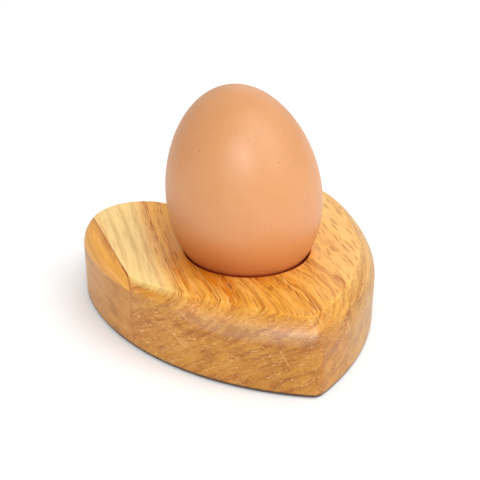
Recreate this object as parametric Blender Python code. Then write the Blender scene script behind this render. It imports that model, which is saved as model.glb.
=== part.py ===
"""A boiled egg standing in a heart-shaped oak egg cup.

The cup is a thick board, glued up from oak staves and cut to a heart: two lobes at the back (+Y),
a cleft between them and a point at the front (-Y). Its walls are upright, its upper edge is sanded
away by hand in a bevel of changing width, and a round hollow in its top holds the egg, which leans
a little to the left.

Units are metres, +Z is up, and the origin is under the middle of the heart, on its flat base.
"""

import math

import bpy
import numpy as np
from mathutils import Vector

MM = 0.001

# Heart outline, seen from above. Lengths run from the line through the centres of both lobes.
LOBE_CENTRE_X = 24.5 * MM
LOBE_RADIUS = 17.0 * MM
SHOULDER_RADIUS = 31.0 * MM
SHOULDER_START = math.radians(30.0)
SIDE_RADIUS = 78.5 * MM
POINT_DISTANCE = 77.8 * MM
POINT_RADIUS = 2.0 * MM
CLEFT_RADIUS = 9.0 * MM

BOARD_HEIGHT = 22.0 * MM
BASE_ROUNDING = 1.2 * MM

# The hand-sanded upper edge. Each station has its bearing round the hollow, counter-clockwise
# from +X, the width of the bevel there, and the height of the upright wall below it.
BEVEL_STATIONS = (
    (math.radians(-170.0), 0.8 * MM, 18.0 * MM),
    (math.radians(-147.0), 3.7 * MM, 16.0 * MM),
    (math.radians(-120.0), 6.7 * MM, 14.0 * MM),
    (math.radians(-92.0), 5.0 * MM, 14.0 * MM),
    (math.radians(-50.0), 5.2 * MM, 14.0 * MM),
    (math.radians(-5.0), 6.0 * MM, 14.0 * MM),
    (math.radians(55.0), 3.0 * MM, 15.5 * MM),
    (math.radians(150.0), 2.4 * MM, 17.0 * MM),
)
BEVEL_TURN = math.radians(58.0)
INSET_REACH = 15.0 * MM

# Hollow for the egg. The top falls slightly from the bevel to the hollow's rim.
HOLLOW_OFFSET_Y = 1.8 * MM
HOLLOW_RADIUS = 18.3 * MM
HOLLOW_DEPTH = 13.5 * MM
HOLLOW_SQUARENESS = 2.8
RIM_HEIGHT = 21.0 * MM
RIM_ROUNDING = 0.6 * MM

# Egg, blunt end down.
EGG_LENGTH = 59.6 * MM
EGG_WIDTH = 44.4 * MM
EGG_TAPER = 0.087
EGG_FULLNESS = 0.007
EGG_CENTRE_HEIGHT = 40.1 * MM
EGG_SHIFT_X = -1.2 * MM
EGG_SHIFT_Y = 0.5 * MM
EGG_LEAN = math.radians(8.5)
EGG_LEAN_HEADING = math.radians(157.0)

# How the cup's rows of points run: square to the edge at the back, and spread round the hollow.
SQUARE_TURNOVER = 40.0 * MM
HOLLOW_EVENING = 0.35

# Mesh fineness.
ARC_STEP = math.radians(2.0)
DIRECTIONS = 108
BASE_STEPS = 3
BEVEL_STEPS = 6
TOP_STEPS = 4
RIM_STEPS = 3
HOLLOW_STEPS = 6
EGG_SIDES = 48
EGG_RINGS = 26

OAK_COLOUR = (0.62, 0.33, 0.11, 1.0)
OAK_ROUGHNESS = 0.45
SHELL_COLOUR = (0.78, 0.40, 0.21, 1.0)
SHELL_ROUGHNESS = 0.5


def clear_objects():
    """Empty the scene, so that the build starts from nothing."""
    for item in list(bpy.data.objects):
        bpy.data.objects.remove(item, do_unlink=True)


def make_material(name, colour, roughness):
    """A plain Principled material."""
    material = bpy.data.materials.new(name)
    material.use_nodes = True
    shader = material.node_tree.nodes["Principled BSDF"]
    shader.inputs["Base Color"].default_value = colour
    shader.inputs["Roughness"].default_value = roughness
    shader.inputs["Metallic"].default_value = 0.0
    return material


def add_object(name, vertices, faces, material):
    """Make a smooth-shaded object from its vertices and faces."""
    mesh = bpy.data.meshes.new(name)
    mesh.from_pydata(vertices, [], faces)
    mesh.validate()
    mesh.shade_smooth()
    mesh.materials.append(material)
    item = bpy.data.objects.new(name, mesh)
    bpy.context.scene.collection.objects.link(item)
    return item


def arc_points(centre, radius, start, end):
    """Points along an arc, its end left out."""
    steps = max(2, math.ceil(abs(end - start) / ARC_STEP))
    points = []
    for step in range(steps):
        angle = start + (end - start) * step / steps
        points.append((centre[0] + radius * math.cos(angle), centre[1] + radius * math.sin(angle)))
    return points


def circle_crossing(centre_a, radius_a, centre_b, radius_b):
    """The left one of the two points where two circles cross."""
    gap = centre_b - centre_a
    along = (radius_a**2 - radius_b**2 + gap.length_squared) / (2.0 * gap.length)
    across = math.sqrt(radius_a**2 - along**2)
    middle = centre_a + gap.normalized() * along
    sideways = gap.normalized().orthogonal() * across
    return min(middle + sideways, middle - sideways, key=lambda point: point.x)


def heading(start, end):
    """Angle of the direction from one point to another, counter-clockwise from +X."""
    return math.atan2(end.y - start.y, end.x - start.x)


def heart_outline():
    """The closed heart outline, counter-clockwise from the point, centred front to back.

    Each half is five arcs that run smoothly into each other: the cleft, the lobe, the shoulder,
    the long side and the rounded point.
    """
    lobe = Vector((LOBE_CENTRE_X, 0.0))
    cleft = Vector((0.0, math.sqrt((LOBE_RADIUS + CLEFT_RADIUS) ** 2 - LOBE_CENTRE_X**2)))
    shoulder_way = Vector((math.cos(SHOULDER_START), math.sin(SHOULDER_START)))
    shoulder = lobe + shoulder_way * (LOBE_RADIUS - SHOULDER_RADIUS)
    corner = Vector((0.0, -POINT_DISTANCE))
    side = circle_crossing(shoulder, SIDE_RADIUS - SHOULDER_RADIUS, corner, SIDE_RADIUS)
    point_depth = math.sqrt((SIDE_RADIUS - POINT_RADIUS) ** 2 - side.x**2)
    point = Vector((0.0, side.y - point_depth))

    half = arc_points(cleft, CLEFT_RADIUS, -math.pi / 2, heading(cleft, lobe))
    half += arc_points(lobe, LOBE_RADIUS, heading(lobe, cleft), SHOULDER_START)
    half += arc_points(shoulder, SHOULDER_RADIUS, SHOULDER_START, heading(side, shoulder))
    half += arc_points(side, SIDE_RADIUS, heading(side, shoulder), heading(side, point))
    half += arc_points(point, POINT_RADIUS, heading(side, point), -math.pi / 2)
    half.append((0.0, point.y - POINT_RADIUS))

    mirrored = [(-x, y) for x, y in half[1:-1]]
    outline = np.array(half[::-1] + mirrored)
    outline[:, 1] -= (outline[:, 1].max() + outline[:, 1].min()) / 2
    return outline


def distance_to_outline(points, outline):
    """Shortest distance from each point to the outline."""
    spans = np.roll(outline, -1, axis=0) - outline
    offsets = points[:, None, :] - outline[None, :, :]
    along = np.clip((offsets * spans).sum(axis=2) / (spans**2).sum(axis=1), 0.0, 1.0)
    gaps = offsets - along[:, :, None] * spans
    return np.sqrt((gaps**2).sum(axis=2).min(axis=1))


def unit(vectors):
    """The vectors at length one."""
    return vectors / np.hypot(vectors[:, 0], vectors[:, 1])[:, None]


def even_spots(outline):
    """Evenly spaced points of the outline, the heart's point first."""
    closed = np.vstack((outline, outline[:1]))
    lengths = np.hypot(*np.diff(closed, axis=0).T)
    travelled = np.concatenate(((0.0,), np.cumsum(lengths)))
    stops = travelled[-1] * np.arange(DIRECTIONS) / DIRECTIONS
    return np.stack([np.interp(stops, travelled, closed[:, axis]) for axis in (0, 1)], axis=1)


def inward_ways(spots, centre):
    """The way inward from each spot: to the hollow at the front, square to the edge at the back."""
    radial = unit(centre - spots)
    tangents = np.roll(spots, -1, axis=0) - np.roll(spots, 1, axis=0)
    square = unit(np.stack((-tangents[:, 1], tangents[:, 0]), axis=1))
    share = np.clip(0.5 + (spots[:, 1] - centre[1]) / SQUARE_TURNOVER, 0.0, 1.0)[:, None]
    return unit(radial * (1.0 - share) + square * share)


def inset_spots(spots, ways, outline, insets):
    """Walk inward from each spot until the outline is the given inset away, by halving."""
    near = np.zeros(len(spots))
    far = np.full(len(spots), INSET_REACH)
    for _ in range(40):
        middle = (near + far) / 2
        deep = distance_to_outline(spots + ways * middle[:, None], outline) > insets
        far = np.where(deep, middle, far)
        near = np.where(deep, near, middle)
    return spots + ways * near[:, None]


def bevel_shape(spots, centre):
    """Width of the bevel and height of the wall at each spot, blended between the stations."""
    bearings, widths, walls = np.array(BEVEL_STATIONS).T
    stops = np.append(bearings - bearings[0], 2.0 * math.pi)
    turns = np.arctan2(spots[:, 1] - centre[1], spots[:, 0]) - bearings[0]
    turns = np.mod(turns, 2.0 * math.pi)
    before = np.searchsorted(stops, turns, side="right") - 1
    after = (before + 1) % len(bearings)
    share = (turns - stops[before]) / (stops[before + 1] - stops[before])
    share = share * share * (3.0 - 2.0 * share)
    return [side[before] * (1.0 - share) + side[after] * share for side in (widths, walls)]


def hollow_ways(spots, centre):
    """Where each spot's line meets the round hollow: near its own bearing, but more evenly spread."""
    bearings = np.unwrap(np.arctan2(spots[:, 1] - centre[1], spots[:, 0]))
    even = bearings[0] + 2.0 * math.pi * np.arange(DIRECTIONS) / DIRECTIONS
    angles = bearings + (even - bearings) * HOLLOW_EVENING
    return np.stack((np.cos(angles), np.sin(angles)), axis=1)


def cup_rows():
    """Rows of points round the cup, from the edge of its base, up and over, to the hollow's floor."""
    outline = heart_outline()
    centre = np.array((0.0, HOLLOW_OFFSET_Y))
    spots = even_spots(outline)
    ways = inward_ways(spots, centre)
    widths, walls = bevel_shape(spots, centre)
    round_ways = hollow_ways(spots, centre)
    rows = []

    def add_row(flat, heights):
        rows.append(np.column_stack((flat, np.broadcast_to(heights, len(flat)))).tolist())

    for step in range(BASE_STEPS + 1):
        turn = math.pi / 2 * step / BASE_STEPS
        insets = np.full(DIRECTIONS, BASE_ROUNDING * (1.0 - math.sin(turn)))
        add_row(inset_spots(spots, ways, outline, insets), BASE_ROUNDING * (1.0 - math.cos(turn)))
    for step in range(BEVEL_STEPS + 1):
        turn = BEVEL_TURN * step / BEVEL_STEPS
        share = (1.0 - math.cos(turn)) / (1.0 - math.cos(BEVEL_TURN))
        rise = math.sin(turn) / math.sin(BEVEL_TURN)
        crest = inset_spots(spots, ways, outline, widths * share)
        add_row(crest, walls + (BOARD_HEIGHT - walls) * rise)
    lip = centre + round_ways * (HOLLOW_RADIUS + RIM_ROUNDING)
    for step in range(1, TOP_STEPS + 1):
        share = 1.0 - step / TOP_STEPS
        height = RIM_HEIGHT + (BOARD_HEIGHT - RIM_HEIGHT) * math.sin(math.pi / 2 * share)
        add_row(lip + (crest - lip) * share, height)
    for step in range(1, RIM_STEPS + 1):
        turn = math.pi / 2 * step / RIM_STEPS
        radius = HOLLOW_RADIUS + RIM_ROUNDING * (1.0 - math.sin(turn))
        add_row(centre + round_ways * radius, RIM_HEIGHT - RIM_ROUNDING * (1.0 - math.cos(turn)))
    edge = RIM_HEIGHT - RIM_ROUNDING
    floor = RIM_HEIGHT - HOLLOW_DEPTH
    power = 2.0 / HOLLOW_SQUARENESS
    for step in range(1, HOLLOW_STEPS):
        turn = math.pi / 2 * step / HOLLOW_STEPS
        radius = HOLLOW_RADIUS * math.cos(turn) ** power
        add_row(centre + round_ways * radius, edge - (edge - floor) * math.sin(turn) ** power)
    return rows


def closed_faces(row_count, row_length):
    """Quads between the rows, a flat face below the first and a fan to a last point above all."""
    faces = [tuple(reversed(range(row_length)))]
    for row in range(row_count - 1):
        for index in range(row_length):
            following = (index + 1) % row_length
            low = row * row_length
            high = low + row_length
            faces.append((low + index, low + following, high + following, high + index))
    last = (row_count - 1) * row_length
    tip = row_count * row_length
    for index in range(row_length):
        faces.append((last + index, last + (index + 1) % row_length, tip))
    return faces


def make_egg_cup():
    """The oak heart with its hollow, one closed solid."""
    rows = cup_rows()
    vertices = [vertex for row in rows for vertex in row]
    vertices.append((0.0, HOLLOW_OFFSET_Y, RIM_HEIGHT - HOLLOW_DEPTH))
    oak = make_material("oak", OAK_COLOUR, OAK_ROUGHNESS)
    return add_object("egg_cup", vertices, closed_faces(len(rows), DIRECTIONS), oak)


def egg_radius(cosine):
    """Shell radius where the line from the egg's middle has this cosine to its long axis."""
    sine = math.sqrt(1.0 - cosine**2)
    return EGG_WIDTH / 2 * sine * (1.0 - EGG_TAPER * cosine + EGG_FULLNESS * cosine**2)


def make_egg():
    """The whole egg in its shell, turned about its long axis and tipped to its lean."""
    vertices = [(0.0, 0.0, -EGG_LENGTH / 2)]
    for ring in range(1, EGG_RINGS):
        cosine = -math.cos(math.pi * ring / EGG_RINGS)
        radius = egg_radius(cosine)
        for side in range(EGG_SIDES):
            angle = 2.0 * math.pi * side / EGG_SIDES
            vertices.append((radius * math.cos(angle), radius * math.sin(angle), EGG_LENGTH / 2 * cosine))
    vertices.append((0.0, 0.0, EGG_LENGTH / 2))

    faces = []
    top = len(vertices) - 1
    last = top - EGG_SIDES
    for side in range(EGG_SIDES):
        following = (side + 1) % EGG_SIDES
        faces.append((0, 1 + following, 1 + side))
        faces.append((top, last + side, last + following))
        for ring in range(EGG_RINGS - 2):
            low = 1 + ring * EGG_SIDES
            high = low + EGG_SIDES
            faces.append((low + side, low + following, high + following, high + side))
    shell = make_material("eggshell", SHELL_COLOUR, SHELL_ROUGHNESS)
    egg = add_object("egg", vertices, faces, shell)
    lean_way = Vector((math.cos(EGG_LEAN_HEADING), math.sin(EGG_LEAN_HEADING), 0.0))
    axis = Vector((0.0, 0.0, 1.0)) * math.cos(EGG_LEAN) + lean_way * math.sin(EGG_LEAN)
    egg.rotation_mode = "QUATERNION"
    egg.rotation_quaternion = Vector((0.0, 0.0, 1.0)).rotation_difference(axis)
    egg.location = (EGG_SHIFT_X, HOLLOW_OFFSET_Y + EGG_SHIFT_Y, EGG_CENTRE_HEIGHT)
    return egg


def main():
    clear_objects()
    make_egg_cup()
    make_egg()


main()
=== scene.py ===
"""Looks of a boiled egg in its heart-shaped oak egg cup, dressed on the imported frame."""

import math
from types import SimpleNamespace

import bpy
import numpy as np
from mathutils import Matrix, Vector


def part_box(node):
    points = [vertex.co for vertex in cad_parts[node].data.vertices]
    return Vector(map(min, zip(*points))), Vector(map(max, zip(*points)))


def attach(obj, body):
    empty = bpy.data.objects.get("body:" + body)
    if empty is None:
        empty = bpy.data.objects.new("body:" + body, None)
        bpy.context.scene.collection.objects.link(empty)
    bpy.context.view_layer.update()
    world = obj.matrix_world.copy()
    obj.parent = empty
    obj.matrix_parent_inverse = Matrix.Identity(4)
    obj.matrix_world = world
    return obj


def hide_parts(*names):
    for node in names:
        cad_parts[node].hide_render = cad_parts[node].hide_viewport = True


MM = 0.001

# Heart outline, as the solid has it but for a rounder point. Lengths run from the line through the
# centres of both lobes.
LOBE_CENTRE_X = 24.5 * MM
LOBE_RADIUS = 17.0 * MM
SHOULDER_RADIUS = 31.0 * MM
SHOULDER_START = math.radians(30.0)
SIDE_RADIUS = 78.5 * MM
POINT_DISTANCE = 77.9 * MM
POINT_RADIUS = 3.4 * MM
CLEFT_RADIUS = 9.0 * MM

# The hand-sanded upper edge: bearing round the hollow, width of the bevel, height of the wall.
BASE_ROUNDING = 1.2 * MM
BEVEL_STATIONS = (
    (math.radians(-170.0), 0.8 * MM, 18.0 * MM),
    (math.radians(-147.0), 3.7 * MM, 16.0 * MM),
    (math.radians(-120.0), 6.7 * MM, 14.0 * MM),
    (math.radians(-92.0), 5.0 * MM, 14.0 * MM),
    (math.radians(-50.0), 5.2 * MM, 14.0 * MM),
    (math.radians(-5.0), 6.0 * MM, 14.0 * MM),
    (math.radians(55.0), 3.0 * MM, 15.5 * MM),
    (math.radians(150.0), 2.4 * MM, 17.0 * MM),
)
BEVEL_TURN = math.radians(58.0)
INSET_REACH = 15.0 * MM
CREST_SOFTNESS = 0.25 * MM

# Hollow.
HOLLOW_OFFSET_Y = 1.8 * MM
HOLLOW_RADIUS = 18.3 * MM
HOLLOW_DEPTH = 13.5 * MM
HOLLOW_SQUARENESS = 2.8
RIM_DROP = 1.0 * MM
RIM_ROUNDING = 0.6 * MM

# Egg.
EGG_LENGTH = 59.6 * MM
EGG_WIDTH = 44.4 * MM
EGG_TAPER = 0.087
EGG_FULLNESS = 0.007
EGG_LEAN = math.radians(8.5)
EGG_LEAN_HEADING = math.radians(157.0)

# Fineness of the cup's surface.
ARC_STEP = math.radians(0.5)
SPOTS = 640
SQUARE_TURNOVER = 40.0 * MM
HOLLOW_EVENING = 0.35
BASE_STEPS = 5
WALL_STEPS = 26
BEVEL_STEPS = 30
TOP_STEPS = 46
RIM_STEPS = 6
HOLLOW_STEPS = 16
EGG_SIDES = 256
EGG_RINGS = 160

# Camera: it looks down on the front left of the cup from close by.
CAMERA_AZIMUTH = math.radians(-21.81)
CAMERA_ELEVATION = math.radians(26.1)
CAMERA_DISTANCE = 261.9 * MM
CAMERA_AIM = Vector((0.48 * MM, 8.72 * MM, 20.09 * MM))
CAMERA_ROLL = math.radians(0.163)
CAMERA_LENS = 65.04
SENSOR_WIDTH = 36.0
CLIP_START = 10.0 * MM

# Studio: name, azimuth and elevation in degrees, distance and size in metres, power in watts.
LAMP_GOAL = Vector((0.0, 0.0, 30.0 * MM))
LAMPS = (
    ("front", -12.5, 35.5, 1.8, 0.50, 10.2),
    ("front_left", -34.0, 30.0, 1.8, 0.5, 4.0),
    ("front_high", 40.0, 60.0, 1.8, 1.2, 7.7),
    ("right_front", 45.0, 35.0, 1.8, 1.2, 7.7),
    ("right", 90.0, 40.0, 2.0, 1.4, 0.6),
    ("right_back", 135.0, 30.0, 2.0, 1.4, 4.4),
    ("back", 180.0, 35.0, 2.2, 2.4, 5.5),
)
WORLD_STRENGTH = 0.54
FLOOR_REACH = 1.5

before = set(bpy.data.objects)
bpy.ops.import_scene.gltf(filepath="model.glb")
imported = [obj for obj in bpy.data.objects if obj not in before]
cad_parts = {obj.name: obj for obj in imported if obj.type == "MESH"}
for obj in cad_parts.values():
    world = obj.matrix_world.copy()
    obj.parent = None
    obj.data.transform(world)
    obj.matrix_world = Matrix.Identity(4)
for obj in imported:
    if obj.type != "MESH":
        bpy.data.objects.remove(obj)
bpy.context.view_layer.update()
CUP_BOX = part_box("egg_cup")
EGG_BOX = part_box("egg")
BOARD_HEIGHT = CUP_BOX[1][2]
RIM_HEIGHT = BOARD_HEIGHT - RIM_DROP


# ---------------------------------------------------------------- the cup's shape


def arc_points(arc):
    """Points along an arc, its end left out."""
    centre, radius, start, end = arc
    steps = max(2, math.ceil(abs(end - start) / ARC_STEP))
    angles = start + (end - start) * np.arange(steps) / steps
    return np.stack((centre[0] + radius * np.cos(angles), centre[1] + radius * np.sin(angles)), axis=1)


def circle_crossing(centre_a, radius_a, centre_b, radius_b):
    """The left one of the two points where two circles cross."""
    gap = centre_b - centre_a
    along = (radius_a**2 - radius_b**2 + gap.length_squared) / (2.0 * gap.length)
    across = math.sqrt(radius_a**2 - along**2)
    middle = centre_a + gap.normalized() * along
    sideways = gap.normalized().orthogonal() * across
    return min(middle + sideways, middle - sideways, key=lambda point: point.x)


def heading(start, end):
    """Angle of the direction from one point to another, counter-clockwise from +X."""
    return math.atan2(end.y - start.y, end.x - start.x)


def heart_arcs():
    """The right half of the heart as arcs (centre, radius, start, end), from cleft to point."""
    lobe = Vector((LOBE_CENTRE_X, 0.0))
    cleft = Vector((0.0, math.sqrt((LOBE_RADIUS + CLEFT_RADIUS) ** 2 - LOBE_CENTRE_X**2)))
    shoulder_way = Vector((math.cos(SHOULDER_START), math.sin(SHOULDER_START)))
    shoulder = lobe + shoulder_way * (LOBE_RADIUS - SHOULDER_RADIUS)
    corner = Vector((0.0, -POINT_DISTANCE))
    side = circle_crossing(shoulder, SIDE_RADIUS - SHOULDER_RADIUS, corner, SIDE_RADIUS)
    point_depth = math.sqrt((SIDE_RADIUS - POINT_RADIUS) ** 2 - side.x**2)
    point = Vector((0.0, side.y - point_depth))
    rise = Vector((0.0, CUP_BOX[1][1] - LOBE_RADIUS))
    return (
        (cleft + rise, CLEFT_RADIUS, -math.pi / 2, heading(cleft, lobe)),
        (lobe + rise, LOBE_RADIUS, heading(lobe, cleft), SHOULDER_START),
        (shoulder + rise, SHOULDER_RADIUS, SHOULDER_START, heading(side, shoulder)),
        (side + rise, SIDE_RADIUS, heading(side, shoulder), heading(side, point)),
        (point + rise, POINT_RADIUS, heading(side, point), -math.pi / 2),
    )


HEART_ARCS = heart_arcs()


def heart_outline():
    """The closed heart outline, counter-clockwise from the point."""
    half = np.vstack([arc_points(arc) for arc in HEART_ARCS])
    centre, radius = HEART_ARCS[-1][:2]
    tip = np.array([(0.0, centre.y - radius)])
    mirrored = half[1:] * np.array((-1.0, 1.0))
    return np.vstack((tip, half[::-1], mirrored))


def depth_inside(points):
    """Shortest distance from each point to the heart's outline, which is the same on both halves."""
    across = np.abs(points[:, 0])
    nearest = np.full(len(points), np.inf)
    for centre, radius, start, end in HEART_ARCS:
        x = across - centre.x
        y = points[:, 1] - centre.y
        low, high = min(start, end), max(start, end)
        turns = np.mod(np.arctan2(y, x) - low + math.pi, 2.0 * math.pi) - math.pi
        angles = low + np.clip(turns, 0.0, high - low)
        gaps = np.hypot(x - radius * np.cos(angles), y - radius * np.sin(angles))
        nearest = np.minimum(nearest, gaps)
    return nearest


def unit(vectors):
    """The vectors at length one."""
    return vectors / np.hypot(vectors[:, 0], vectors[:, 1])[:, None]


def even_spots(outline):
    """Evenly spaced points of the outline, the heart's point first."""
    closed = np.vstack((outline, outline[:1]))
    lengths = np.hypot(*np.diff(closed, axis=0).T)
    travelled = np.concatenate(((0.0,), np.cumsum(lengths)))
    stops = travelled[-1] * np.arange(SPOTS) / SPOTS
    return np.stack([np.interp(stops, travelled, closed[:, axis]) for axis in (0, 1)], axis=1)


def inward_ways(spots, centre):
    """The way inward from each spot: to the hollow at the front, square to the edge at the back."""
    radial = unit(centre - spots)
    tangents = np.roll(spots, -1, axis=0) - np.roll(spots, 1, axis=0)
    square = unit(np.stack((-tangents[:, 1], tangents[:, 0]), axis=1))
    share = np.clip(0.5 + (spots[:, 1] - centre[1]) / SQUARE_TURNOVER, 0.0, 1.0)[:, None]
    return unit(radial * (1.0 - share) + square * share)


def inset_spots(spots, ways, insets):
    """Walk inward from each spot until the outline is the given inset away, by halving."""
    near = np.zeros(len(spots))
    far = np.full(len(spots), INSET_REACH)
    for _ in range(30):
        middle = (near + far) / 2
        deep = depth_inside(spots + ways * middle[:, None]) > insets
        far = np.where(deep, middle, far)
        near = np.where(deep, near, middle)
    return spots + ways * near[:, None]


def bevel_shape(spots, centre):
    """Width of the bevel and height of the wall at each spot, blended between the stations."""
    bearings, widths, walls = np.array(BEVEL_STATIONS).T
    stops = np.append(bearings - bearings[0], 2.0 * math.pi)
    turns = np.arctan2(spots[:, 1] - centre[1], spots[:, 0]) - bearings[0]
    turns = np.mod(turns, 2.0 * math.pi)
    before = np.searchsorted(stops, turns, side="right") - 1
    after = (before + 1) % len(bearings)
    share = (turns - stops[before]) / (stops[before + 1] - stops[before])
    share = share * share * (3.0 - 2.0 * share)
    return [side[before] * (1.0 - share) + side[after] * share for side in (widths, walls)]


def hollow_ways(spots, centre):
    """Where each spot's line meets the round hollow: near its own bearing, but more evenly spread."""
    bearings = np.unwrap(np.arctan2(spots[:, 1] - centre[1], spots[:, 0]))
    even = bearings[0] + 2.0 * math.pi * np.arange(SPOTS) / SPOTS
    angles = bearings + (even - bearings) * HOLLOW_EVENING
    return np.stack((np.cos(angles), np.sin(angles)), axis=1)


def soft_lower(first, second, softness):
    """The lower of two heights, rounded off where they meet."""
    mix = np.clip(0.5 + (second - first) / (4.0 * softness), 0.0, 1.0)
    return second + (first - second) * mix - 2.0 * softness * mix * (1.0 - mix)


def bevel_height(insets, widths, walls):
    """Height of the sanded edge's arc at a given inset, and of its run beyond the crest."""
    share = np.clip(insets / widths * (1.0 - math.cos(BEVEL_TURN)), 0.0, 1.0)
    rise = np.sqrt(1.0 - (1.0 - share) ** 2) / math.sin(BEVEL_TURN)
    return walls + (BOARD_HEIGHT - walls) * rise


def cup_rows():
    """Rows of points round the cup, from the edge of its base, up and over, to the hollow's floor."""
    centre = np.array((0.0, HOLLOW_OFFSET_Y))
    spots = even_spots(heart_outline())
    ways = inward_ways(spots, centre)
    widths, walls = bevel_shape(spots, centre)
    round_ways = hollow_ways(spots, centre)
    rows = []

    def add_row(flat, heights):
        rows.append(np.column_stack((flat, np.broadcast_to(heights, len(flat)))))

    for step in range(BASE_STEPS + 1):
        turn = math.pi / 2 * step / BASE_STEPS
        insets = np.full(SPOTS, BASE_ROUNDING * (1.0 - math.sin(turn)))
        add_row(inset_spots(spots, ways, insets), BASE_ROUNDING * (1.0 - math.cos(turn)))
    for step in range(1, WALL_STEPS):
        add_row(spots, BASE_ROUNDING + (walls - BASE_ROUNDING) * step / WALL_STEPS)
    for step in range(BEVEL_STEPS + 1):
        turn = BEVEL_TURN * step / BEVEL_STEPS
        insets = widths * (1.0 - math.cos(turn)) / (1.0 - math.cos(BEVEL_TURN))
        crest = inset_spots(spots, ways, insets)
        heights = soft_lower(bevel_height(insets, widths, walls), BOARD_HEIGHT, CREST_SOFTNESS)
        add_row(crest, heights)
    lip = centre + round_ways * (HOLLOW_RADIUS + RIM_ROUNDING)
    for step in range(1, TOP_STEPS + 1):
        share = 1.0 - (step / TOP_STEPS) ** 1.15
        flat = lip + (crest - lip) * share
        dish = RIM_HEIGHT + (BOARD_HEIGHT - RIM_HEIGHT) * math.sin(math.pi / 2 * share)
        insets = depth_inside(flat)
        add_row(flat, soft_lower(bevel_height(insets, widths, walls), dish, CREST_SOFTNESS))
    for step in range(1, RIM_STEPS + 1):
        turn = math.pi / 2 * step / RIM_STEPS
        radius = HOLLOW_RADIUS + RIM_ROUNDING * (1.0 - math.sin(turn))
        add_row(centre + round_ways * radius, RIM_HEIGHT - RIM_ROUNDING * (1.0 - math.cos(turn)))
    edge = RIM_HEIGHT - RIM_ROUNDING
    floor = RIM_HEIGHT - HOLLOW_DEPTH
    power = 2.0 / HOLLOW_SQUARENESS
    for step in range(1, HOLLOW_STEPS):
        turn = math.pi / 2 * step / HOLLOW_STEPS
        radius = HOLLOW_RADIUS * math.cos(turn) ** power
        add_row(centre + round_ways * radius, edge - (edge - floor) * math.sin(turn) ** power)
    return rows


def closed_faces(row_count, row_length):
    """Quads between the rows, a flat face below the first and a fan to a last point above all."""
    index = np.arange(row_length)
    following = (index + 1) % row_length
    faces = [tuple(reversed(range(row_length)))]
    for row in range(row_count - 1):
        low = row * row_length
        high = low + row_length
        quads = np.stack((low + index, low + following, high + following, high + index), axis=1)
        faces.extend(map(tuple, quads.tolist()))
    last = (row_count - 1) * row_length
    tip = np.full(row_length, row_count * row_length)
    faces.extend(map(tuple, np.stack((last + index, last + following, tip), axis=1).tolist()))
    return faces


def add_piece(name, vertices, faces, material, node):
    """Make a smooth piece that stands for a node of the frame."""
    mesh = bpy.data.meshes.new(name)
    mesh.from_pydata(vertices, [], faces)
    mesh.validate()
    mesh.shade_smooth()
    mesh.materials.append(material)
    piece = bpy.data.objects.new(name, mesh)
    bpy.context.scene.collection.objects.link(piece)
    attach(piece, "root")
    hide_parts(node)
    return piece


def make_cup(material):
    """The oak heart."""
    rows = cup_rows()
    deepest = np.array([(0.0, HOLLOW_OFFSET_Y, RIM_HEIGHT - HOLLOW_DEPTH)])
    vertices = np.vstack(rows + [deepest])
    faces = closed_faces(len(rows), SPOTS)
    return add_piece("oak_heart_cup", vertices.tolist(), faces, material, "egg_cup")


# ---------------------------------------------------------------- the egg's shape


def egg_points():
    """The shell's points about its own middle, blunt end down, pole to pole."""
    cosines = -np.cos(math.pi * np.arange(EGG_RINGS + 1) / EGG_RINGS)
    sines = np.sqrt(1.0 - cosines**2)
    radii = EGG_WIDTH / 2 * sines * (1.0 - EGG_TAPER * cosines + EGG_FULLNESS * cosines**2)
    angles = 2.0 * math.pi * np.arange(EGG_SIDES) / EGG_SIDES
    rings = [(0.0, 0.0, -EGG_LENGTH / 2)]
    for cosine, radius in zip(cosines[1:-1], radii[1:-1]):
        for angle in angles:
            rings.append((radius * math.cos(angle), radius * math.sin(angle), EGG_LENGTH / 2 * cosine))
    rings.append((0.0, 0.0, EGG_LENGTH / 2))
    return np.array(rings)


def egg_faces():
    """Faces of the shell: a fan at each pole and quads between the rings."""
    faces = []
    top = 1 + (EGG_RINGS - 1) * EGG_SIDES
    last = top - EGG_SIDES
    for side in range(EGG_SIDES):
        following = (side + 1) % EGG_SIDES
        faces.append((0, 1 + following, 1 + side))
        faces.append((top, last + side, last + following))
        for ring in range(EGG_RINGS - 2):
            low = 1 + ring * EGG_SIDES
            high = low + EGG_SIDES
            faces.append((low + side, low + following, high + following, high + side))
    return faces


def make_egg(material):
    """The egg in its shell, leaning as the frame's egg does and centred in its box."""
    lean_way = Vector((math.cos(EGG_LEAN_HEADING), math.sin(EGG_LEAN_HEADING), 0.0))
    axis = Vector((0.0, 0.0, 1.0)) * math.cos(EGG_LEAN) + lean_way * math.sin(EGG_LEAN)
    turn = np.array(Vector((0.0, 0.0, 1.0)).rotation_difference(axis).to_matrix())
    points = egg_points() @ turn.T
    middle = (points.min(axis=0) + points.max(axis=0)) / 2
    goal = (np.array(EGG_BOX[0]) + np.array(EGG_BOX[1])) / 2
    points += goal - middle
    return add_piece("egg_in_shell", points.tolist(), egg_faces(), material, "egg")


# ---------------------------------------------------------------- materials


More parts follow.
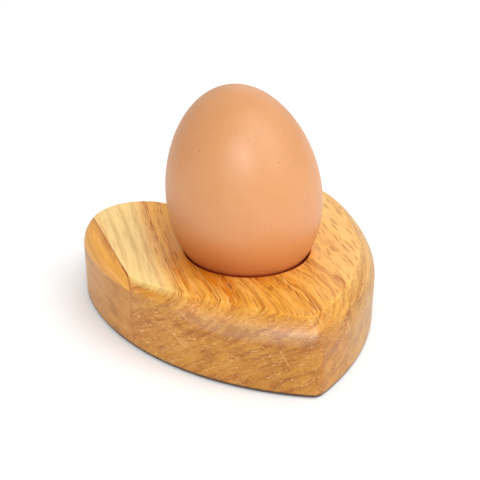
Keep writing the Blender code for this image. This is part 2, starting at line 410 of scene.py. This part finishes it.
class Sketch:
    """Short calls for building a material's nodes."""

    def __init__(self, name):
        self.material = bpy.data.materials.new(name)
        self.material.use_nodes = True
        self.tree = self.material.node_tree
        self.shader = self.tree.nodes["Principled BSDF"]

    def node(self, kind, **settings):
        made = self.tree.nodes.new(kind)
        for key, value in settings.items():
            setattr(made, key, value)
        return made

    def feed(self, socket, value):
        if isinstance(value, bpy.types.NodeSocket):
            self.tree.links.new(value, socket)
        else:
            socket.default_value = value

    def math(self, operation, *values):
        made = self.node("ShaderNodeMath", operation=operation)
        for socket, value in zip(made.inputs, values):
            self.feed(socket, value)
        return made.outputs[0]

    def add(self, first, second):
        return self.math("ADD", first, second)

    def times(self, first, second):
        return self.math("MULTIPLY", first, second)

    def combine(self, x, y, z):
        made = self.node("ShaderNodeCombineXYZ")
        for socket, value in zip(made.inputs, (x, y, z)):
            self.feed(socket, value)
        return made.outputs[0]

    def noise(self, vector, scale, detail=2.0, roughness=0.5):
        made = self.node("ShaderNodeTexNoise")
        self.feed(made.inputs["Vector"], vector)
        self.feed(made.inputs["Scale"], scale)
        self.feed(made.inputs["Detail"], detail)
        self.feed(made.inputs["Roughness"], roughness)
        return made.outputs["Fac"]

    def cells(self, vector, scale):
        """Distance to the middle of the nearest of many scattered cells."""
        made = self.node("ShaderNodeTexVoronoi")
        self.feed(made.inputs["Vector"], vector)
        self.feed(made.inputs["Scale"], scale)
        return made.outputs["Distance"]

    def ramp(self, value, low, high, out_low=0.0, out_high=1.0):
        made = self.node("ShaderNodeMapRange", interpolation_type="SMOOTHSTEP", clamp=True)
        for socket, number in zip(made.inputs, (value, low, high, out_low, out_high)):
            self.feed(socket, number)
        return made.outputs[0]

    def mix(self, share, first, second, blend="MIX"):
        made = self.node("ShaderNodeMix", data_type="RGBA", blend_type=blend, clamp_factor=True)
        self.feed(made.inputs[0], share)
        self.feed(made.inputs[6], first)
        self.feed(made.inputs[7], second)
        return made.outputs[2]

    def bump(self, height, strength, distance):
        made = self.node("ShaderNodeBump")
        self.feed(made.inputs["Strength"], strength)
        self.feed(made.inputs["Distance"], distance)
        self.feed(made.inputs["Height"], height)
        return made.outputs[0]

    def position(self):
        """Object coordinates in millimetres, apart."""
        place = self.node("ShaderNodeTexCoord").outputs["Object"]
        scale = self.node("ShaderNodeVectorMath", operation="SCALE")
        self.feed(scale.inputs[0], place)
        scale.inputs["Scale"].default_value = 1.0 / MM
        parts = self.node("ShaderNodeSeparateXYZ")
        self.feed(parts.inputs[0], scale.outputs[0])
        return scale.outputs[0], parts.outputs[0], parts.outputs[1], parts.outputs[2]


# Oak colours, linear.
OAK_PALE = (1.000, 0.740, 0.300, 1.0)
OAK_GOLD = (0.960, 0.500, 0.115, 1.0)
OAK_HONEY = (0.835, 0.378, 0.052, 1.0)
OAK_AMBER = (0.700, 0.215, 0.010, 1.0)
OAK_BROWN = (0.430, 0.128, 0.009, 1.0)
OAK_PORE = (0.340, 0.075, 0.004, 1.0)
# Painted shade and warm bounce for the hollow's lip and inside.
OAK_LIP_SHADE = (0.620, 0.075, 0.008, 1.0)
# Painted contact shade for the base edge where it meets the floor.
OAK_CONTACT_SHADE = (0.050, 0.024, 0.010, 1.0)
OAK_FLECK = (0.880, 0.520, 0.190, 1.0)
WALL_TINT = (0.552, 0.480, 0.295, 1.0)
WALL_TINT_LEFT = (0.635, 0.570, 0.365, 1.0)

# The grain, in millimetres: its skew to the heart, the pith that the growth rings run round, the
# radius beyond which the wood is pale sapwood, and the width and start of the rings.
GRAIN_SKEW = 0.105
PITH_X = 50.0
PITH_Z = -66.0
PITH_DISTANCE = 110.0
PALE_RADIUS = 116.2
RING_WIDTH = 2.7
RING_START = 0.41

# The left stave: where it is glued on, where the joint has cracked open, and how far across, along
# and up its wood lay from the rest in the tree.
GLUE_X = -37.8
GLUE_HALF_WIDTH = 0.34
CRACK_START = -5.2
CRACK_END = 3.5
OTHER_ACROSS = 150.0
OTHER_ALONG = 57.0
OTHER_UP = 23.0

# Heights between which the look of the top gives way to that of the walls, on both staves, and
# between which the sapwood's paleness and the painted contact shade along the lower edge come in.
WALL_FADE = (21.2, 18.2)
WALL_FADE_LEFT = (20.1, 19.1)
PALE_FADE = (20.6, 22.2)
CONTACT_SHADE_FADE = (1.9, 1.3)

# Distances from the hollow's middle over which painted shade darkens the top round it, and over which
# painted shade darkens its lip.
ROUND_HOLLOW_SHADE_FADE = (36.0, 19.0)
LIP_FADE = (19.2, 18.6)
LIP_FADE_HEIGHT = (21.5, 20.8)

# Finish of the oak.
TOP_GLOSS = 0.20
WALL_GLOSS = 0.45
COAT_ROUGHNESS = 0.38
COAT_IOR = 1.9
OAK_ROUGHNESS = 0.27
OAK_RELIEF = 0.18 * MM


def oak_grain(s):
    """Where each spot lies in the plank, in its growth rings and on the cup."""
    grain = SimpleNamespace()
    place, x, y, z = s.position()
    grain.x, grain.y, grain.z = x, y, z
    grain.other = s.math("LESS_THAN", x, GLUE_X)
    grain.own = s.ramp(grain.other, 1.0, 0.0)
    slow = s.combine(x, s.times(y, 0.25), z)
    drift_x = s.times(s.add(s.noise(slow, 0.05, 2.0), -0.5), 4.0)
    drift_z = s.times(s.add(s.noise(s.combine(z, s.times(y, 0.25), x), 0.05, 2.0), -0.5), 4.0)
    wave_place = s.combine(s.times(x, 0.4), y, s.times(z, 0.4))
    wave = s.times(s.add(s.noise(wave_place, 0.14, 2.0), -0.5), 0.6)

    # Across, along and up in the grain. The left stave comes from another part of the plank.
    grain.across = s.add(s.add(x, s.times(y, -GRAIN_SKEW)), s.add(drift_x, wave))
    grain.along = s.add(s.add(y, s.times(x, GRAIN_SKEW)), s.times(grain.other, OTHER_ALONG))
    grain.up = s.add(s.add(z, drift_z), s.times(grain.other, OTHER_UP))

    # Growth rings: distance from the pith, and way round it.
    from_x = s.add(s.add(grain.across, -PITH_X), s.times(grain.other, OTHER_ACROSS))
    from_z = s.add(grain.up, -PITH_Z)
    grain.straight = s.math("SQRT", s.add(s.times(from_x, from_x), s.times(from_z, from_z)))
    grain.around = s.times(s.math("ARCTAN2", from_z, from_x), PITH_DISTANCE)
    wander_place = s.combine(grain.across, s.times(grain.along, 0.12), grain.up)
    wander = s.times(s.add(s.noise(wander_place, 0.30, 4.0), -0.5), 1.5)
    grain.radius = s.add(grain.straight, wander)
    grain.phase = s.math("FRACT", s.add(s.math("DIVIDE", grain.radius, RING_WIDTH), RING_START))
    grain.early = s.times(s.ramp(grain.phase, 0.0, 0.08), s.ramp(grain.phase, 0.50, 0.18))

    # Bands and lines that follow the rings, fibres along the grain, and patches of both.
    grain.band = ring_noise(s, grain, 0.36, 0.035, 0.014, 2.0)
    grain.line = ring_noise(s, grain, 1.0, 0.08, 0.026, 3.0)
    fibre_place = s.combine(s.times(grain.across, 2.6), s.times(grain.along, 0.11), s.times(grain.up, 2.6))
    grain.fibre = s.noise(fibre_place, 1.0, 3.0, 0.6)
    patch_place = s.combine(grain.across, s.times(grain.along, 0.15), grain.up)
    grain.patches = s.ramp(s.noise(patch_place, 0.30, 2.0), 0.40, 0.58)

    # Which way the surface faces, how far it is from the hollow, and how much it takes the wall's look,
    # which on sloped faces is painted shade.
    facing = s.node("ShaderNodeSeparateXYZ")
    s.feed(facing.inputs[0], s.node("ShaderNodeNewGeometry").outputs["Normal"])
    grain.facing_up = facing.outputs[2]
    grain.end_grain = s.ramp(grain.facing_up, 0.96, 0.80)
    reach = s.node("ShaderNodeVectorMath", operation="LENGTH")
    s.feed(reach.inputs[0], s.combine(x, s.add(y, -HOLLOW_OFFSET_Y / MM), 0.0))
    grain.reach = reach.outputs["Value"]
    height = s.add(s.add(z, s.times(grain.fibre, 1.0)), s.times(grain.other, 1.1))
    sharp = s.times(s.ramp(height, *WALL_FADE_LEFT), grain.other)
    # Painted shade: sloped faces take up to half of the wall's darker look.
    gentle = s.math("MAXIMUM", s.ramp(height, *WALL_FADE), s.times(grain.end_grain, 0.50))
    grain.wall = s.add(sharp, s.times(gentle, grain.own))

    # The sapwood, and how lively the figure is: quiet in the sapwood and on the left stave.
    sapwood = s.times(s.ramp(grain.straight, PALE_RADIUS - 3.0, PALE_RADIUS + 3.5), grain.own)
    grain.pale = s.times(sapwood, s.ramp(height, *PALE_FADE))
    calm = s.add(s.times(grain.other, 0.55), s.times(s.ramp(grain.across, 4.0, 22.0), 0.15))
    figure = s.add(s.times(s.ramp(grain.pale, 1.0, 0.0), 0.65), s.add(s.times(calm, -1.0), 0.35))
    grain.lively = s.add(figure, s.times(grain.wall, 0.12))
    return grain


def ring_noise(s, grain, radial, tangential, axial, detail):
    """Noise drawn out along the rings."""
    radius = s.times(grain.radius, radial)
    place = s.combine(radius, s.times(grain.around, tangential), s.times(grain.along, axial))
    return s.noise(place, 1.0, detail, 0.55)


def ring_dashes(s, grain, tangential, axial, radial, low, high, shift):
    """Short dashes that follow the rings."""
    along = s.add(s.times(grain.along, axial), shift)
    place = s.combine(s.times(grain.around, tangential), along, s.times(grain.radius, radial))
    return s.ramp(s.cells(place, 1.0), high, low)


def pore_tubes(s, grain, cross, axial, low, high, shift):
    """Long tubes that run along the grain."""
    across = s.times(s.add(grain.across, shift), cross)
    place = s.combine(across, s.times(grain.along, axial), s.times(grain.up, cross))
    return s.ramp(s.cells(place, 1.0), high, low)


def oak_tone(s, grain):
    """Ground colour: amber and honey bands, with painted shade round the hollow, pale sapwood, and light
    and dark lines and fibres.
    """
    # Painted shade: the top round the hollow, left of the middle, is pushed towards amber.
    round_hollow_shade = s.times(s.ramp(grain.reach, *ROUND_HOLLOW_SHADE_FADE), s.ramp(grain.across, 8.0, 1.0))
    light = s.ramp(s.add(grain.band, s.times(round_hollow_shade, -0.13)), 0.38, 0.54)
    light = s.math("MAXIMUM", light, s.times(s.ramp(grain.across, -4.0, 3.0), 0.85))
    light = s.math("MAXIMUM", light, s.times(grain.wall, 0.60))
    tone = s.mix(light, OAK_AMBER, OAK_HONEY)
    tone = s.mix(grain.other, tone, OAK_HONEY)
    tone = s.mix(s.times(grain.pale, 0.90), tone, OAK_PALE)
    tone = s.mix(s.times(s.ramp(grain.across, 6.0, 26.0), 0.44), tone, OAK_PALE)
    streaks = (
        (grain.line, 0.50, 0.64, 0.70, OAK_GOLD),
        (grain.line, 0.48, 0.32, 0.65, OAK_BROWN),
        (grain.fibre, 0.52, 0.70, 0.38, OAK_GOLD),
        (grain.fibre, 0.46, 0.28, 0.60, OAK_BROWN),
    )
    for pattern, low, high, weight, colour in streaks:
        share = s.times(s.times(s.ramp(pattern, low, high), weight), grain.lively)
        tone = s.mix(share, tone, colour)
    return tone


def add_ring_lines(s, grain, tone):
    """Where one ring ends and the next begins: dark, pale and dark lines, fading in and out."""
    beyond = s.times(grain.phase, RING_WIDTH)
    around = s.times(grain.around, 0.05)
    fading_place = s.combine(s.times(grain.radius, 0.30), around, s.times(grain.along, 0.035))
    on_top = s.ramp(grain.wall, 0.3, 1.0, 0.85, 0.10)
    shown = s.times(s.ramp(s.noise(fading_place, 1.0, 2.0), 0.42, 0.56), s.times(grain.lively, on_top))
    first = s.times(s.ramp(beyond, 0.0, 0.08), s.ramp(beyond, 0.28, 0.14))
    second = s.times(s.ramp(beyond, 0.42, 0.50), s.ramp(beyond, 0.66, 0.54))
    between = s.times(s.ramp(beyond, 0.20, 0.30), s.ramp(beyond, 0.50, 0.40))
    tone = s.mix(s.times(between, s.times(shown, 0.85)), tone, OAK_GOLD)
    tone = s.mix(s.times(s.add(first, s.times(second, 0.7)), s.times(shown, 0.80)), tone, OAK_BROWN)
    return s.mix(s.times(grain.early, 0.10), tone, OAK_BROWN)


def add_wall_tint(s, grain, tone):
    """The upright walls have drunk more oil, unevenly, and look duller; on sloped faces the same tint is
    painted shade.
    """
    up = s.times(grain.up, 1.6)
    soaked_place = s.combine(s.times(grain.across, 1.6), s.times(grain.along, 0.45), up)
    soaked = s.noise(soaked_place, 0.16, 2.0)
    tone = s.mix(s.times(grain.wall, s.ramp(soaked, 0.49, 0.37, 0.0, 0.34)), tone, OAK_BROWN)
    tone = s.mix(s.times(grain.wall, s.ramp(soaked, 0.51, 0.63, 0.0, 0.34)), tone, OAK_GOLD)
    tint = s.mix(s.ramp(grain.x, -8.0, -30.0), WALL_TINT, WALL_TINT_LEFT)
    return s.mix(grain.wall, tone, tint, "MULTIPLY")


def add_flecks(s, grain, tone):
    """Flecks of soft tissue: short pale dashes along the rings, with darker ones between."""
    rows = s.times(s.add(s.times(grain.early, 0.70), 0.30), s.add(s.times(grain.patches, 0.85), 0.15))
    grain.flecks = s.times(ring_dashes(s, grain, 0.55, 0.070, 1.8, 0.14, 0.40, 0.0), rows)
    share = s.times(grain.flecks, s.add(s.times(grain.end_grain, 0.18), 0.38))
    tone = s.mix(share, tone, OAK_FLECK)
    between = s.times(s.ramp(grain.phase, 0.25, 0.40), s.ramp(grain.phase, 0.80, 0.60))
    dark_dashes = ring_dashes(s, grain, 0.45, 0.075, 1.9, 0.16, 0.38, 7.0)
    shades = s.times(dark_dashes, s.add(s.times(between, 0.85), 0.10))
    return s.mix(s.times(s.times(shades, 0.75), grain.lively), tone, OAK_BROWN)


def add_rays(s, grain, tone):
    """Rays: thin pale sheets that run out from the pith and along the grain."""
    around = s.times(grain.around, 0.9)
    place = s.combine(around, s.times(grain.along, 0.022), s.times(grain.straight, 0.030))
    rays = s.times(s.ramp(s.cells(place, 1.0), 0.12, 0.05), grain.own)
    return s.mix(s.times(rays, 0.75), tone, OAK_FLECK)


def add_pores(s, grain, tone):
    """Pores: dark along the grain and pale at its ends, with a pale line beside the widest."""
    crowded = s.add(s.times(grain.early, 0.6), s.ramp(grain.patches, 0.0, 1.0, 0.0, 0.30))
    pores = s.times(pore_tubes(s, grain, 1.9, 0.095, 0.18, 0.38, 0.0), crowded)
    banded = s.times(s.ramp(grain.band, 0.62, 0.46), grain.lively)
    sheen = s.times(pore_tubes(s, grain, 1.3, 0.040, 0.10, 0.26, 0.32), banded)
    tone = s.mix(s.times(sheen, 0.50), tone, OAK_FLECK)
    long_pores = s.times(pore_tubes(s, grain, 1.3, 0.040, 0.11, 0.26, 0.0), banded)
    open_pores = s.math("MAXIMUM", s.times(pores, grain.lively), long_pores)
    tone = s.mix(s.times(s.times(open_pores, grain.end_grain), 0.35), tone, OAK_FLECK)
    grain.dark = s.times(open_pores, s.ramp(grain.end_grain, 1.0, 0.0))
    return s.mix(s.times(grain.dark, 0.88), tone, OAK_PORE)


def add_joint_and_edges(s, grain, tone):
    """The glue line and its crack, painted shade beside the joint, in the hollow's lip and along the lower
    edge.
    """
    gap = s.math("ABSOLUTE", s.add(grain.x, -GLUE_X))
    # Painted shade: the left stave darkens beside the joint, on its back half.
    beside = s.times(s.times(s.ramp(gap, 3.0, 0.0), grain.other), s.ramp(grain.y, -2.0, 22.0))
    tone = s.mix(s.times(beside, 0.45), tone, OAK_BROWN)
    glue = s.ramp(gap, GLUE_HALF_WIDTH, 0.10)
    tone = s.mix(s.times(glue, s.ramp(grain.wall, 0.0, 1.0, 0.75, 0.40)), tone, OAK_BROWN)
    from_start = s.ramp(grain.y, CRACK_START, CRACK_START + 2.0)
    run = s.times(from_start, s.ramp(grain.y, CRACK_END, CRACK_END - 3.0))
    crack = s.times(s.ramp(gap, GLUE_HALF_WIDTH, 0.16), s.times(run, s.ramp(grain.z, 19.0, 20.5)))
    tone = s.mix(crack, tone, OAK_PORE)
    # Painted shade and warm bounce: the hollow's lip and inside turn dark red.
    lip = s.times(s.ramp(grain.reach, *LIP_FADE), s.ramp(grain.z, *LIP_FADE_HEIGHT))
    tone = s.mix(s.times(lip, 0.85), tone, OAK_LIP_SHADE)
    # Painted contact shade: the wood turns almost black along the base where it meets the floor.
    contact_shade = s.ramp(s.add(grain.z, s.times(grain.fibre, 0.6)), *CONTACT_SHADE_FADE)
    return s.mix(s.times(contact_shade, 0.95), tone, OAK_CONTACT_SHADE)


def finish_oak(s, grain):
    """Gloss, the polish of the front left crest, roughness and relief."""
    gloss = s.ramp(grain.wall, 0.0, 1.0, TOP_GLOSS, WALL_GLOSS)
    s.feed(s.shader.inputs["Specular IOR Level"], s.times(gloss, s.ramp(grain.dark, 0.0, 0.8, 1.0, 0.1)))
    crest = s.times(s.ramp(grain.facing_up, 0.86, 0.66), s.ramp(grain.facing_up, 0.10, 0.35))
    front_left = s.times(s.ramp(grain.y, -12.0, -27.0), s.ramp(grain.x, 8.0, -12.0))
    s.feed(s.shader.inputs["Coat Weight"], s.times(crest, front_left))
    s.shader.inputs["Coat Roughness"].default_value = COAT_ROUGHNESS
    s.shader.inputs["Coat IOR"].default_value = COAT_IOR
    rough = s.add(s.times(grain.fibre, 0.20), s.add(OAK_ROUGHNESS, s.times(grain.dark, 0.25)))
    s.feed(s.shader.inputs["Roughness"], rough)
    raised = s.add(s.times(grain.flecks, 0.3), s.times(grain.fibre, 0.5))
    relief = s.add(s.times(grain.dark, -1.0), raised)
    s.feed(s.shader.inputs["Normal"], s.bump(relief, 0.7, OAK_RELIEF))


def make_oak():
    """Oiled oak, worked out in three dimensions, so that top, edge and end grain agree."""
    s = Sketch("oiled_oak")
    grain = oak_grain(s)
    tone = oak_tone(s, grain)
    for step in (add_ring_lines, add_wall_tint, add_flecks, add_rays, add_pores, add_joint_and_edges):
        tone = step(s, grain, tone)
    s.feed(s.shader.inputs["Base Color"], tone)
    finish_oak(s, grain)
    return s.material


# Eggshell colours, linear, and its finish.
SHELL_BASE = (0.612, 0.268, 0.098, 1.0)
SHELL_PALE = (0.642, 0.300, 0.126, 1.0)
# The next three colours are painted shade: lower down, on the lower left, and below the rim inside the
# hollow.
SHELL_LOWER_SHADE = (0.625, 0.246, 0.082, 1.0)
SHELL_LEFT_SHADE = (0.500, 0.165, 0.045, 1.0)
SHELL_GAP_SHADE = (0.520, 0.052, 0.008, 1.0)
SHELL_SPECK = (0.500, 0.190, 0.065, 1.0)
SHELL_ROUGHNESS = 0.39
SHELL_SPECULAR = 0.60
SHELL_GLOW = 0.12
SHELL_GLOW_RADIUS = (1.0, 0.45, 0.25)
SHELL_GLOW_DEPTH = 1.2 * MM
SHELL_PIT_DEPTH = 0.1 * MM


def make_shell():
    """Brown eggshell: barely mottled, with faint specks and fine pores, and painted shade lower down, on
    the lower left and below the rim.
    """
    s = Sketch("brown_eggshell")
    place, x, y, z = s.position()
    mottle = s.noise(place, 0.11, 3.0, 0.55)
    grain = s.noise(place, 1.1, 3.0, 0.6)
    tone = s.mix(s.times(s.ramp(mottle, 0.35, 0.65), 0.45), SHELL_BASE, SHELL_PALE)
    tone = s.mix(s.times(s.ramp(grain, 0.50, 0.75), 0.35), tone, SHELL_PALE)
    speck_gap = s.cells(place, 0.36)
    chosen = s.ramp(s.noise(place, 0.22, 1.0), 0.50, 0.60)
    specks = s.times(s.ramp(speck_gap, 0.20, 0.08), chosen)
    tone = s.mix(s.times(specks, 0.55), tone, SHELL_SPECK)
    # Painted shade and warm bounce from the wood: the shell deepens lower down.
    tone = s.mix(s.times(s.ramp(z, 44.0, 24.0), 0.80), tone, SHELL_LOWER_SHADE)
    # Painted shade: the lower left of the shell is darker and redder.
    tone = s.mix(s.times(s.ramp(s.add(z, s.times(x, 0.9)), 26.0, 6.0), 0.90), tone, SHELL_LEFT_SHADE)
    # Painted shade and warm bounce in the narrow gap: the shell turns dark red below the rim.
    tone = s.mix(s.times(s.ramp(z, 21.9, 20.7), 0.90), tone, SHELL_GAP_SHADE)
    s.feed(s.shader.inputs["Base Color"], tone)
    s.shader.inputs["Roughness"].default_value = SHELL_ROUGHNESS
    s.shader.inputs["Specular IOR Level"].default_value = SHELL_SPECULAR
    s.shader.inputs["Subsurface Weight"].default_value = SHELL_GLOW
    s.shader.inputs["Subsurface Radius"].default_value = SHELL_GLOW_RADIUS
    s.shader.inputs["Subsurface Scale"].default_value = SHELL_GLOW_DEPTH
    pits = s.noise(place, 1.4, 3.0, 0.65)
    s.feed(s.shader.inputs["Normal"], s.bump(pits, 0.6, SHELL_PIT_DEPTH))
    return s.material


# ---------------------------------------------------------------- studio


def make_floor():
    """A plain white floor."""
    mesh = bpy.data.meshes.new("floor")
    corners = [(x * FLOOR_REACH, y * FLOOR_REACH, 0.0) for x, y in ((-1, -1), (1, -1), (1, 1), (-1, 1))]
    mesh.from_pydata(corners, [], [(0, 1, 2, 3)])
    floor = bpy.data.objects.new("floor", mesh)
    s = Sketch("white_floor")
    s.shader.inputs["Base Color"].default_value = (1.0, 1.0, 1.0, 1.0)
    s.shader.inputs["Roughness"].default_value = 0.9
    s.shader.inputs["Specular IOR Level"].default_value = 0.1
    mesh.materials.append(s.material)
    bpy.context.scene.collection.objects.link(floor)


def add_lamp(name, azimuth, elevation, distance, size, power):
    """A square soft lamp that looks at the egg; azimuth is counted as the camera's."""
    data = bpy.data.lights.new(name, "AREA")
    data.shape = "SQUARE"
    data.size = size
    data.energy = power
    lamp = bpy.data.objects.new(name, data)
    turn, rise = math.radians(azimuth), math.radians(elevation)
    way = Vector((math.sin(turn) * math.cos(rise), -math.cos(turn) * math.cos(rise), math.sin(rise)))
    lamp.location = LAMP_GOAL + way * distance
    lamp.rotation_euler = way.to_track_quat("Z", "Y").to_euler()
    lamp.visible_camera = False
    bpy.context.scene.collection.objects.link(lamp)


def make_world():
    """Even white light from all round."""
    world = bpy.data.worlds.new("studio")
    world.use_nodes = True
    background = world.node_tree.nodes["Background"]
    background.inputs["Color"].default_value = (1.0, 1.0, 1.0, 1.0)
    background.inputs["Strength"].default_value = WORLD_STRENGTH
    bpy.context.scene.world = world


def make_camera():
    """The camera, placed from its angles and its aim."""
    data = bpy.data.cameras.new("camera")
    data.sensor_width = SENSOR_WIDTH
    data.lens = CAMERA_LENS
    data.clip_start = CLIP_START
    camera = bpy.data.objects.new("camera", data)
    back = Vector((
        math.sin(CAMERA_AZIMUTH) * math.cos(CAMERA_ELEVATION),
        -math.cos(CAMERA_AZIMUTH) * math.cos(CAMERA_ELEVATION),
        math.sin(CAMERA_ELEVATION),
    ))
    right = Vector((math.cos(CAMERA_AZIMUTH), math.sin(CAMERA_AZIMUTH), 0.0))
    up = back.cross(right)
    turned_right = right * math.cos(CAMERA_ROLL) + up * math.sin(CAMERA_ROLL)
    turned_up = up * math.cos(CAMERA_ROLL) - right * math.sin(CAMERA_ROLL)
    place = Matrix((turned_right, turned_up, back)).transposed().to_4x4()
    place.translation = CAMERA_AIM + back * CAMERA_DISTANCE
    camera.matrix_world = place
    bpy.context.scene.collection.objects.link(camera)
    bpy.context.scene.camera = camera


make_camera()
make_cup(make_oak())
make_egg(make_shell())
make_floor()
make_world()
for lamp in LAMPS:
    add_lamp(*lamp)
bpy.context.scene.view_settings.view_transform = "Standard"
